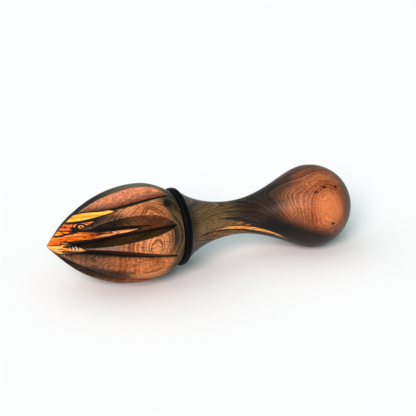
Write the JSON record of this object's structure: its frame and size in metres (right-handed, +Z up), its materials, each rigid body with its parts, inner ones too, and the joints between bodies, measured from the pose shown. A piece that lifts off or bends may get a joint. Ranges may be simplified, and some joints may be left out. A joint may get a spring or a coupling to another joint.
{
  "type": "citrus reamer",
  "caption": "Hand-held wooden citrus reamer: pointed fluted head, black collar ring, waisted neck and ball grip, joined by a hidden glued tenon.",
  "frame": {"origin": "centre of the bounding box in plan, on the table that the reamer lies on", "axes": "+X runs along the reamer from the point of the head to the ball grip, +Z is up; the turning axis lies in the XZ plane and slopes down about 2 degrees towards the ball"},
  "size_m": [0.1606, 0.0484, 0.0484],
  "materials": {
    "head_wood": "oiled satin, streaked orange, red-brown and black",
    "handle_wood": "oiled satin, streaked orange, red-brown and black",
    "blackwood": "polished black",
    "tenon_wood": "bare turned hardwood"
  },
  "bodies": {
    "root": {"reamer_head": "head_wood", "collar_ring": "blackwood", "handle": "handle_wood", "joint_dowel": "tenon_wood"}
  },
  "joints": []
}
